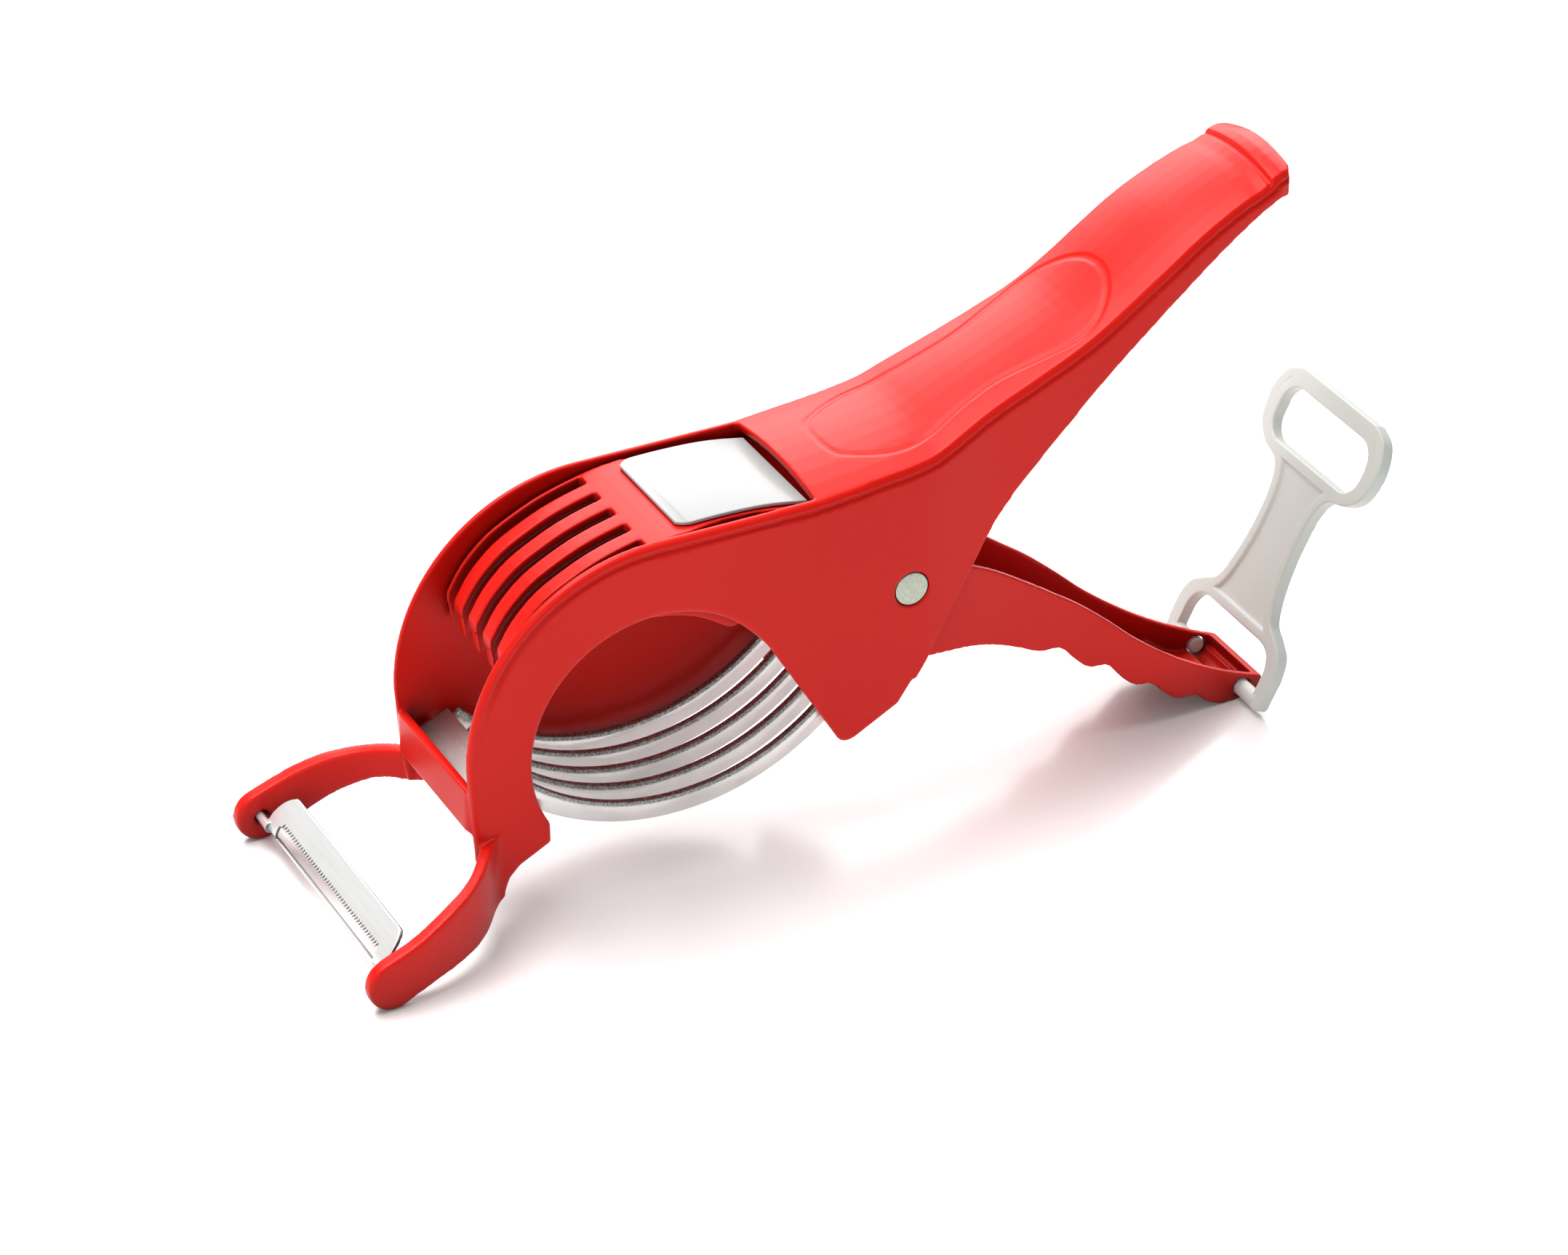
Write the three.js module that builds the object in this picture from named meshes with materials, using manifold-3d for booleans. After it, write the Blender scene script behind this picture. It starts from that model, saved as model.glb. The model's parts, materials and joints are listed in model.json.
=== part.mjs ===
// Hand-held five-blade vegetable cutter with a swivel peeler in its nose and a swing-over lock clip.
// Millimetres, +Z up, +X from the peeler towards the handle end, Y across the tool.
// Outlines are measured from the pivot pin's axis, which crosses the tool along Y.
import * as THREE from "three";
import { mergeVertices } from "three/addons/utils/BufferGeometryUtils.js";
import Module from "manifold-3d";

const wasm = await Module();
wasm.setup();

// ---------------------------------------------------------------- driving dimensions
const PIVOT_X = 6.4; // pivot ahead of the middle of the tool's length
const PIVOT_Z = 54.8; // pivot above the table

const BODY_HALF = 19.4; // half the width over the two cheeks
const WALL = 1.9; // moulded wall
const CHEEK_IN = BODY_HALF - WALL;
const RIM_R = 1.3; // rounding of the cheeks' outer rims
const RIM_STEPS = 4;
const GAP = 0.3; // clearance between pieces that touch

const RING = { x: -57.3, z: -16.5, r: 42 }; // outer round of the nose
const ARCH = { x: -57.2, z: -19.3, r: 28 }; // food opening in the near cheek
const BLADE_ARC = { x: -51.9, z: 11.6, top: 48.8, bottom: 53.2 };
const BLADE_FROM = THREE.MathUtils.degToRad(224.6);
const BLADE_TO = THREE.MathUtils.degToRad(327);
const BLADE_PITCH = 7;
const BLADE_T = 1.5;
const BLADE_COUNT = 5;
const SLOT_W = 3; // comb slot around each blade
const SLOT_REAR_X = -57.8;
const EYE_R = 3.4;
const ROD_R = 1.6;
const SPACER_R = 2.9;

const PRESSER_HALF = 16.4;
const RIB_HALF = 1.5;
const HOLLOW = { x: -37, deep: 1.3, r: 55 }; // shallow hollow in each edge of the presser's top plate
const COVER_HALF = 14.5;
const COVER_T = 0.8;

const PIN_HEAD_R = 3.75;
const PIN_R = 2.6;
const PIN_FIT = 0.15;
const HUB_R = 6.5;
const HUB_IN = 10;

const CLIP_AXIS = { x: 85.7, z: -52.1 };
const CLIP_LEAN = THREE.MathUtils.degToRad(63.7);
const CLIP_T = 3;
const STUB_R = 1.9;

const FORK_AXIS = { x: -123.7, z: -49.3 };
const FORK_R = 5.5;
const PEELER_HALF = 29.8;
const PEELER_PIN_R = 1.3;
const PEELER_PIN_END = 33.8;
const PEELER_SLOT_HALF = 25.2;

// ---------------------------------------------------------------- materials
const plastic = (color) => new THREE.MeshStandardMaterial({ color, roughness: 0.28, metalness: 0 });
const steel = (color) => new THREE.MeshStandardMaterial({ color, roughness: 0.3, metalness: 0.9 });
const RED = 0xc8201a;
const WHITE = 0xf4f6f3;
const OFF_WHITE = 0xe6e0da;
const STEEL = 0xc9c6c2;

// ---------------------------------------------------------------- solids
function solid(geometry) {
  geometry.deleteAttribute("normal");
  geometry.deleteAttribute("uv");
  const merged = mergeVertices(geometry, 1e-4);
  const mesh = new wasm.Mesh({
    numProp: 3,
    vertProperties: Float32Array.from(merged.attributes.position.array),
    triVerts: Uint32Array.from(merged.index.array),
  });
  return new wasm.Manifold(mesh);
}

function union(solids) {
  return solids.reduce((whole, next) => whole.add(next));
}

function piece(name, whole, material) {
  const data = whole.getMesh();
  const geometry = new THREE.BufferGeometry();
  geometry.setAttribute("position", new THREE.BufferAttribute(data.vertProperties, 3));
  geometry.setIndex(new THREE.BufferAttribute(data.triVerts, 1));
  geometry.computeVertexNormals();
  const mesh = new THREE.Mesh(geometry, material);
  mesh.name = name;
  return mesh;
}

// A side outline (x, z) made into a plate between two values of y.
function plate(shape, y0, y1, curveSegments = 10) {
  const geometry = new THREE.ExtrudeGeometry(shape, { depth: y1 - y0, bevelEnabled: false, curveSegments });
  geometry.rotateX(Math.PI / 2);
  geometry.translate(0, y1, 0);
  return solid(geometry);
}

// A side outline made into a plate with a rounded rim on its face at y0; the face at y1 stays sharp.
function rimmedPlate(shape, y0, y1, rim, curveSegments) {
  const outline = shape.getPoints(curveSegments).filter((p, i, all) => p.distanceTo(all.at(i - 1)) > 0.01);
  if (THREE.ShapeUtils.isClockWise(outline)) outline.reverse();
  const count = outline.length;
  const inwards = outline.map((p, i) => {
    const before = p.clone().sub(outline.at(i - 1)).normalize();
    const after = outline[(i + 1) % count].clone().sub(p).normalize();
    const sum = new THREE.Vector2(-before.y - after.y, before.x + after.x);
    return sum.divideScalar(Math.max(0.6, 1 + before.dot(after)));
  });
  const level = (y, inset) =>
    outline.map((p, i) => new THREE.Vector3(p.x + inwards[i].x * inset, y, p.y + inwards[i].y * inset));
  const outwards = Math.sign(y0 - y1);
  const rings = [level(y1, 0)];
  for (let k = 0; k <= RIM_STEPS; k++) {
    const turn = (k / RIM_STEPS) * (Math.PI / 2);
    rings.push(level(y0 - outwards * rim * (1 - Math.sin(turn)), rim * (1 - Math.cos(turn))));
  }
  const cap = THREE.ShapeUtils.triangulateShape(outline, []);
  const top = (rings.length - 1) * count;
  const faces = cap.flatMap(([i, j, k]) => [[i, k, j], [top + i, top + j, top + k]]);
  for (let r = 0; r < top; r += count) {
    for (let j = 0; j < count; j++) {
      const k = (j + 1) % count;
      faces.push([r + j, r + k, r + count + j], [r + k, r + count + k, r + count + j]);
    }
  }
  if (outwards > 0) faces.forEach((face) => face.reverse());
  const geometry = new THREE.BufferGeometry();
  geometry.setAttribute("position", new THREE.Float32BufferAttribute(rings.flat().flatMap((p) => p.toArray()), 3));
  geometry.setIndex(faces.flat());
  return solid(geometry);
}

// A plan outline (x, y) made into a block between two heights.
function slab(shape, z0, z1, curveSegments = 10) {
  const geometry = new THREE.ExtrudeGeometry(shape, { depth: z1 - z0, bevelEnabled: false, curveSegments });
  geometry.translate(0, 0, z0);
  return solid(geometry);
}

function box(x0, x1, y0, y1, z0, z1) {
  const geometry = new THREE.BoxGeometry(x1 - x0, y1 - y0, z1 - z0);
  geometry.translate((x0 + x1) / 2, (y0 + y1) / 2, (z0 + z1) / 2);
  return solid(geometry);
}

// A round bar along Y.
function bar(x, z, radius, y0, y1, sides = 28) {
  const geometry = new THREE.CylinderGeometry(radius, radius, y1 - y0, sides);
  geometry.translate(x, (y0 + y1) / 2, z);
  return solid(geometry);
}

// A closed skin over rings of points that all have the same count, capped at both ends.
function loft(rings) {
  const count = rings[0].length;
  const points = rings.flat();
  const first = points.push(centre(rings[0])) - 1;
  const last = points.push(centre(rings[rings.length - 1])) - 1;
  const index = [];
  const end = (rings.length - 1) * count;
  for (let j = 0; j < count; j++) {
    const k = (j + 1) % count;
    for (let i = 0; i < rings.length - 1; i++) {
      const a = i * count;
      const b = a + count;
      index.push(a + j, b + j, a + k, a + k, b + j, b + k);
    }
    index.push(first, j, k, last, end + k, end + j);
  }
  const geometry = new THREE.BufferGeometry();
  geometry.setAttribute("position", new THREE.Float32BufferAttribute(points.flatMap((p) => p.toArray()), 3));
  geometry.setIndex(index);
  return solid(geometry);
}

function centre(ring) {
  return ring.reduce((sum, p) => sum.add(p), new THREE.Vector3()).divideScalar(ring.length);
}

// A value read off a list of [x, value] pairs, on a smooth curve that makes no peaks of its own.
function along(list, x) {
  const last = list.length - 1;
  if (x <= list[0][0]) return list[0][1];
  if (x >= list[last][0]) return list[last][1];
  const i = list.findIndex((pair) => pair[0] > x) - 1;
  const [x0, v0] = list[i];
  const [x1, v1] = list[i + 1];
  const t = (x - x0) / (x1 - x0);
  const bend = (x1 - x0) * t * (1 - t) * (slope(list, i) * (1 - t) - slope(list, i + 1) * t);
  return v0 * (1 + 2 * t) * (1 - t) ** 2 + v1 * t * t * (3 - 2 * t) + bend;
}

// The slope of that curve at one pair: the mean of the slopes on its two sides, held back at a sharp turn.
function slope(list, i) {
  const rise = (k) => (list[k + 1][1] - list[k][1]) / (list[k + 1][0] - list[k][0]);
  if (i === 0) return rise(0);
  if (i === list.length - 1) return rise(i - 1);
  const before = rise(i - 1);
  const after = rise(i);
  if (before * after <= 0) return 0;
  const steepest = 3 * Math.min(Math.abs(before), Math.abs(after));
  return Math.sign(before) * Math.min(Math.abs(before + after) / 2, steepest);
}

// Evenly spaced stations from x0 to x1.
function stations(x0, x1, count) {
  return Array.from({ length: count + 1 }, (_, i) => x0 + ((x1 - x0) * i) / count);
}

function vectors(list) {
  return list.map(([x, z]) => new THREE.Vector2(x, z));
}

// Points of a smooth curve through a short list of points.
function smooth(list, divisions) {
  return new THREE.SplineCurve(vectors(list)).getPoints(divisions);
}

// ---------------------------------------------------------------- main body
const HANDLE_TOP = [
  [-21.5, 25.9], [-11, 27], [0.5, 28.4], [6, 29.6], [12, 32.3], [19.4, 35.6], [30.3, 40],
  [42.1, 45.3], [48.8, 49.5], [57.2, 55.4], [66.4, 61.6], [72.6, 65], [78.7, 67.8], [84.5, 70.1],
  [85.5, 71.2], [87.5, 71.9],
];
const HANDLE_BOTTOM = [
  [-21.5, 20], [-3, 21], [-1, -22], [1.2, -21.7], [5.3, -14.9], [9.3, -8.4], [15.2, 1.3], [18, 6],
  [20.8, 10.2], [25.5, 15.7], [34.4, 24.5], [45.6, 35.3], [55.4, 44.1], [62, 49.6],
  [68.9, 54.9], [75.7, 59.7], [82.9, 64.2], [87.5, 66.4],
];
const HANDLE_HALF = [
  [-21.5, 19.4], [2, 19.4], [10, 18.6], [19, 17.4], [30, 16.8], [48, 16.2], [60, 16.1], [72, 15.2],
  [80, 14.5], [87.5, 13.8],
];
const HANDLE_CROWN = 2;
const HANDLE_ROUND = 2;
const HANDLE_END_X = 87.5;
const HANDLE_STATIONS = [-21.5, -14, -7, -3, ...stations(-1, 84.5, 36), 85.5, HANDLE_END_X];

function handleRing(x, inset, drop) {
  const half = along(HANDLE_HALF, x) - inset;
  const top = along(HANDLE_TOP, x) - inset;
  const low = along(HANDLE_BOTTOM, x) - drop;
  const round = HANDLE_ROUND - inset / 2;
  const ring = [new THREE.Vector3(x, -half, low), new THREE.Vector3(x, -half, top - round)];
  for (let i = 0; i <= 8; i++) {
    const y = (half - round * 0.4) * (i / 4 - 1);
    const crown = HANDLE_CROWN * (1 - (y / half) ** 2);
    ring.push(new THREE.Vector3(x, y, top + crown - 0.2));
  }
  ring.push(new THREE.Vector3(x, half, top - round), new THREE.Vector3(x, half, low));
  return ring;
}

function handleShell() {
  const rings = HANDLE_STATIONS.map((x) => handleRing(x, 0, 0));
  const end = rings[rings.length - 1];
  const capped = [[2, 0.95], [3.3, 0.8]].map(([step, scale]) =>
    end.map((p) => new THREE.Vector3(HANDLE_END_X + step, p.y * scale, p.z)),
  );
  const outer = loft([...rings, ...capped]);
  const inner = loft([-24, ...HANDLE_STATIONS.slice(1)].map((x) => handleRing(x, WALL, 12)));
  return outer.subtract(inner);
}

// Outline of a cheek from the nose to just behind the handle's front edge.
function cheekOutline(isFar) {
  const outline = new THREE.Shape();
  outline.moveTo(-98.2, -33);
  outline.lineTo(RING.x - RING.r, RING.z);
  outline.absarc(RING.x, RING.z, RING.r, Math.PI, Math.PI / 2, true);
  outline.lineTo(-21.5, 25.9);
  outline.lineTo(-11, 27);
  outline.lineTo(0, 26);
  outline.lineTo(2, -20.2);
  outline.lineTo(-2.6, -26.9);
  outline.lineTo(-12.4, -32.2);
  outline.quadraticCurveTo(-15, -33.4, -16.3, -31.9);
  if (isFar) {
    const r = 52;
    const from = Math.atan2(-31.9 - BLADE_ARC.z, -16.3 - BLADE_ARC.x);
    outline.absarc(BLADE_ARC.x, BLADE_ARC.z, r, from + 0.04, -Math.PI + 0.98, true);
  } else {
    outline.lineTo(-31.7, -6.2);
    outline.quadraticCurveTo(-33.2, -3.7, -37.4, 0.5);
    outline.absarc(ARCH.x, ARCH.z, ARCH.r, Math.PI / 4, Math.PI + 0.52, false);
  }
  const foot = isFar
    ? [[-86.4, -36.6], [-90, -39.4], [-97, -39.6]]
    : [[-81.4, -37.6], [-88.4, -41.3], [-90.6, -43.6], [-91.6, -46.2], [-93.6, -48.9], [-97, -49.3]];
  foot.forEach(([x, z]) => outline.lineTo(x, z));
  return outline;
}

const ARM_INNER = [
  [-92, 15], [-96, 18], [-101.6, 24.9], [-105.5, 28], [-110, 30.2], [-114.4, 31.7], [-119, 32.6],
  [-131, 33],
];
const ARM_OUTER = [
  [-131, 36.3], [-119, 36], [-113.6, 34.9], [-108.8, 33.2], [-103.8, 30.4], [-99.2, 26.4],
  [-94.5, 20.6], [-92, 19.4],
];

const ARM_LOW_FAR = [
  [-117.3, -52.2], [-114.1, -49.9], [-111.2, -47.8], [-108, -45.7], [-103.6, -43.1], [-99.8, -41],
  [-95, -39.7],
  [-90, -39.4],
];
const ARM_LOW_NEAR = [
  [-118.8, -53], [-113.5, -51.4], [-106.8, -50.5], [-100.5, -50], [-95.5, -49.1], [-90, -46],
];
const ARM_UPPER = [[-98.5, -33.8], [-104.5, -35.9], [-109.5, -37.5], [-114.5, -39.5], [-119, -41.5]];

// A fork arm: its plan curve cut to its side outline, with a round end that holds the peeler.
function forkArm(side) {
  const plan = new THREE.Shape(
    [...smooth(ARM_INNER, 18), ...smooth(ARM_OUTER, 18)].map((p) => new THREE.Vector2(p.x, side * p.y)),
  );
  const outline = new THREE.Shape();
  outline.moveTo(-90, -31);
  outline.splineThru(vectors(ARM_UPPER));
  outline.absarc(FORK_AXIS.x, FORK_AXIS.z, FORK_R, 1.95, side === 1 ? -0.95 : -1.3, false);
  outline.splineThru(vectors(side === 1 ? ARM_LOW_FAR : ARM_LOW_NEAR));
  const arm = slab(plan, -60, -28).intersect(plate(outline, -40, 40));
  const socket = bar(FORK_AXIS.x, FORK_AXIS.z, PEELER_PIN_R + PIN_FIT, -1.7, 1.7, 16);
  return arm.subtract(socket.translate([0, side * 32.9, 0]));
}

// Plan of the plate across the nose, turned back into both cheeks by a round.
function nosePlan() {
  const turn = 3;
  const front = -99.1;
  const plan = new THREE.Shape();
  plan.moveTo(front + WALL, -BODY_HALF + 1);
  plan.lineTo(front + WALL, BODY_HALF - 1);
  plan.absarc(front + turn, BODY_HALF - turn - 0.4, turn, Math.PI * 0.6, Math.PI, false);
  plan.absarc(front + turn, -BODY_HALF + turn + 0.4, turn, Math.PI, Math.PI * 1.4, false);
  return plan;
}

function mainBody() {
  const cheekNear = rimmedPlate(cheekOutline(false), -BODY_HALF, -CHEEK_IN, RIM_R, 24);
  const cheekFar = rimmedPlate(cheekOutline(true), BODY_HALF, CHEEK_IN, RIM_R, 24);
  const crossPlate = slab(nosePlan(), -31.4, -21.7, 8);
  const ledge = new THREE.Shape(vectors([[-97, -28.6], [-91.6, -25.9], [-91.6, -28.5], [-97, -31.2]]));
  const bossIn = ((BLADE_COUNT - 1) * BLADE_PITCH + BLADE_T) / 2 + GAP;
  const bossLength = CHEEK_IN + 0.1 - bossIn;
  const boss = (side) =>
    bar(rodAt.x, rodAt.y, 3.6, 0, bossLength).translate([0, side === 1 ? bossIn : -bossIn - bossLength, 0]);
  const body = union([
    cheekNear, cheekFar, handleShell(), crossPlate, plate(ledge, -18, 18),
    forkArm(1), forkArm(-1), boss(1), boss(-1),
  ]);
  const pinHead = bar(0, 0, PIN_HEAD_R + PIN_FIT, -21, -17);
  const pinShaft = bar(0, 0, PIN_R + PIN_FIT, 10, 22);
  const rodBore = bar(rodAt.x, rodAt.y, ROD_R + PIN_FIT, -18.2, 18.2, 20);
  return body.subtract(pinHead).subtract(pinShaft).subtract(rodBore);
}

// ---------------------------------------------------------------- blades
const bladeMiddle = (BLADE_ARC.top + BLADE_ARC.bottom) / 2;
const rodAt = new THREE.Vector2(
  BLADE_ARC.x + bladeMiddle * Math.cos(BLADE_TO),
  BLADE_ARC.z + bladeMiddle * Math.sin(BLADE_TO),
);

function blade(y) {
  const arc = new THREE.Shape();
  arc.absarc(BLADE_ARC.x, BLADE_ARC.z, BLADE_ARC.bottom, BLADE_FROM, BLADE_TO, false);
  arc.absarc(BLADE_ARC.x, BLADE_ARC.z, BLADE_ARC.top, BLADE_TO, BLADE_FROM, true);
  const strip = plate(arc, y - BLADE_T / 2, y + BLADE_T / 2, 24);
  const eye = bar(rodAt.x, rodAt.y, EYE_R, y - BLADE_T / 2, y + BLADE_T / 2);
  return strip.add(eye).subtract(bar(rodAt.x, rodAt.y, ROD_R + PIN_FIT, y - 2, y + 2, 20));
}

function bladeSpacer(y) {
  const half = (BLADE_PITCH - BLADE_T) / 2 - PIN_FIT;
  const tube = bar(rodAt.x, rodAt.y, SPACER_R, y - half, y + half, 20);
  return tube.subtract(bar(rodAt.x, rodAt.y, ROD_R + PIN_FIT, y - 5, y + 5, 20));
}

function bladeStrip() {
  const half = CHEEK_IN - 1.6;
  const corner = 2.5;
  const plan = new THREE.Shape();
  plan.moveTo(-88.5, -half);
  plan.lineTo(-88.5, half);
  plan.absarc(-96.4 + corner, half - corner, corner, Math.PI / 2, Math.PI, false);
  plan.absarc(-96.4 + corner, -half + corner, corner, Math.PI, Math.PI * 1.5, false);
  const lean = new THREE.Shape(vectors([[-96.4, -26.95], [-88.5, -22.95], [-88.5, -24.05], [-96.4, -28.05]]));
  return slab(plan, -35, -15, 5).intersect(plate(lean, -20, 20));
}

// ---------------------------------------------------------------- presser and lever, one moulding
const COMB_TOP = [
  [-87.8, 4], [-84.6, 9.4], [-79.3, 14.7], [-73.3, 18.2], [-66.5, 21.2], [-57.8, 23.6], [-51, 24.7],
  [-40, 25], [-30, 24.5], [-20, 22.8],
];
const COMB_LOW = [
  [-86.9, -3.2], [-83.5, -0.6], [-77, 3.6], [-70, 6.4], [-62, 7.4], [-53.8, 6.6], [-47.4, 4.7], [-43, 2.2],
  [-40.6, 0.6], [-38.6, 0.3], [-36.4, 1.2], [-34, 3],
];
const LEVER_TOP = [
  [0, 6.5], [8, 2.6], [20.9, -3.8], [31.5, -10.7], [38.2, -15.4], [44.1, -19.6], [51.7, -26], [57.4, -31.2],
  [64.2, -36.5], [70.8, -41], [77.9, -45.1], [84.7, -48.4], [91, -50.9],
];
const LEVER_LOW = [
  [0, -17], [3, -18.6], [9.8, -19.7], [16.4, -20.6], [22.7, -22.5], [29.2, -25.4], [34, -27.8],
  [39.4, -28.6],
  [43, -32.4], [47, -35.6], [50.8, -35.9], [54.6, -40.2], [58.2, -43.1], [61.9, -43.7], [65.6, -47.3],
  [69.2, -49.8], [73.4, -50.2], [77, -53], [80, -54.4], [82.5, -54.8], [91, -54.8],
];
const LEVER_HALF = [
  [0, 16.4], [5, 16.3], [9, 15.8], [16, 14.9], [24, 13.7], [34, 12.8], [46, 12.3], [64, 12],
  [78, 11.2], [91, 10],
];
const LEVER_WALL = 1.6;
const LEVER_END_X = 91;
const LEVER_INNER_END_X = 89;
const LEVER_STATIONS = stations(0, LEVER_END_X, 56);

function leverRing(x, inset, floor, rise) {
  const half = along(LEVER_HALF, x) - inset;
  const low = along(LEVER_LOW, x) + floor;
  const high = along(LEVER_TOP, x) + rise;
  return [[-half, low], [-half, high], [half, high], [half, low]].map(([y, z]) => new THREE.Vector3(x, y, z));
}

function leverChannel() {
  const outer = loft(LEVER_STATIONS.map((x) => leverRing(x, 0, 0, 0)));
  const inside = [-4, ...LEVER_STATIONS.filter((x) => x < LEVER_INNER_END_X - 0.5), LEVER_INNER_END_X];
  return outer.subtract(loft(inside.map((x) => leverRing(x, LEVER_WALL, 2, 8))));
}

function presserLever() {
  const top = smooth(COMB_TOP, 26);
  const low = smooth(COMB_LOW, 26);
  const topUnder = top.map((p) => new THREE.Vector2(p.x, p.y - 2.1)).reverse();
  const topPlate = plate(new THREE.Shape([...top, ...topUnder]), -PRESSER_HALF, PRESSER_HALF);
  const ribSide = new THREE.Shape([...top, ...[...low].reverse()]);
  const ribs = [-1.5, -0.5, 0.5, 1.5].map((n) =>
    plate(ribSide, n * BLADE_PITCH - RIB_HALF, n * BLADE_PITCH + RIB_HALF),
  );
  const toPivot = vectors([
    [-20, 22.8], [-9, 17.5], [2, 9], [5, 6.5], [5, -18.9], [3, -18.6], [-2, -15], [-6, -8], [-9, -1],
    [-14, 2.6],
  ]);
  const sideShape = new THREE.Shape([...top, ...toPivot, ...[...low].reverse()]);
  const edge = (BLADE_COUNT - 1) / 2 * BLADE_PITCH + SLOT_W / 2;
  const sides = [plate(sideShape, -PRESSER_HALF, -edge), plate(sideShape, edge, PRESSER_HALF)];
  const hubs = [bar(0, 0, HUB_R, -PRESSER_HALF, -HUB_IN), bar(0, 0, HUB_R, HUB_IN, PRESSER_HALF)];
  let whole = union([topPlate, ...ribs, ...sides, ...hubs, leverChannel()]);
  for (let i = 0; i < BLADE_COUNT; i++) {
    const y = (i - (BLADE_COUNT - 1) / 2) * BLADE_PITCH;
    whole = whole.subtract(box(-95, SLOT_REAR_X, y - SLOT_W / 2, y + SLOT_W / 2, -12, 30));
  }
  for (const side of [-1, 1]) {
    const hollow = new THREE.Shape();
    hollow.absarc(HOLLOW.x, side * (PRESSER_HALF - HOLLOW.deep + HOLLOW.r), HOLLOW.r, 0, 2 * Math.PI, false);
    whole = whole.subtract(slab(hollow, 20, 27, 90));
  }
  const pinBore = bar(0, 0, PIN_R + PIN_FIT, -20, 20);
  const clipBore = bar(CLIP_AXIS.x, CLIP_AXIS.z, STUB_R + GAP, -20, 20, 20);
  return whole.subtract(pinBore).subtract(clipBore);
}

function coverPlate() {
  const top = smooth(COMB_TOP, 40).filter((p) => p.x > -52 && p.x < -21.5);
  const lower = top.map((p) => new THREE.Vector2(p.x, p.y + PIN_FIT));
  const upper = top.map((p) => new THREE.Vector2(p.x, p.y + PIN_FIT + COVER_T)).reverse();
  const corner = 4;
  const front = -51;
  const plan = new THREE.Shape();
  plan.moveTo(-15, -COVER_HALF);
  plan.lineTo(-15, COVER_HALF);
  plan.lineTo(front + corner, COVER_HALF);
  plan.absarc(front + corner, COVER_HALF - corner, corner, Math.PI / 2, Math.PI, false);
  plan.absarc(front + corner, -COVER_HALF + corner, corner, Math.PI, Math.PI * 1.5, false);
  return plate(new THREE.Shape([...lower, ...upper]), -20, 20).intersect(slab(plan, 10, 40, 6));
}

// ---------------------------------------------------------------- pivot pin, washer and return spring
function pivotPin() {
  const head = bar(0, 0, PIN_HEAD_R, -BODY_HALF + 0.2, -CHEEK_IN);
  const tip = bar(0, 0, PIN_R, -CHEEK_IN, BODY_HALF + 1.5);
  return head.add(tip);
}

function pivotWasher() {
  const ring = bar(0, 0, 5.6, BODY_HALF + 0.1, BODY_HALF + 0.9);
  return ring.subtract(bar(0, 0, PIN_R + PIN_FIT, BODY_HALF - 1, BODY_HALF + 2));
}

const SPRING_R = 5.2;
const SPRING_WIRE = 0.8;
const SPRING_TURNS = 3.26;
const SPRING_PITCH = 2;

// Leg under the handle, coil round the pin, leg on the lever's floor.
class SpringPath extends THREE.Curve {
  constructor() {
    super();
    this.from = THREE.MathUtils.degToRad(140);
    this.sweep = SPRING_TURNS * 2 * Math.PI;
    this.half = (SPRING_TURNS * SPRING_PITCH) / 2;
    this.legs = [35, 20];
    this.coil = Math.hypot(SPRING_R * this.sweep, 2 * this.half);
    this.total = this.legs[0] + this.coil + this.legs[1];
  }
  onCoil(u) {
    const a = this.from + this.sweep * u;
    return new THREE.Vector3(SPRING_R * Math.cos(a), this.half * (2 * u - 1), SPRING_R * Math.sin(a));
  }
  getPoint(t) {
    const s = t * this.total;
    const end = this.legs[0] + this.coil;
    if (s >= this.legs[0] && s <= end) return this.onCoil((s - this.legs[0]) / this.coil);
    const start = s < this.legs[0];
    const a = this.from + (start ? 0 : this.sweep);
    const length = start ? s - this.legs[0] : s - end;
    const leg = new THREE.Vector3(-Math.sin(a), 0, Math.cos(a));
    return this.onCoil(start ? 0 : 1).addScaledVector(leg, length);
  }
}

function returnSpring() {
  const section = new THREE.Shape();
  section.absarc(0, 0, SPRING_WIRE, 0, 2 * Math.PI, false);
  const options = { steps: 110, bevelEnabled: false, extrudePath: new SpringPath(), curveSegments: 4 };
  return solid(new THREE.ExtrudeGeometry(section, options));
}

// ---------------------------------------------------------------- peeler blade
const PEELER_SECTION = [[5.8, 6.5], [3.6, 4.6], [1.4, 2.4], [0.3, 0.8], [0, -0.6], [0.9, -1.7]];
const PEELER_T = 0.7;

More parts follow.
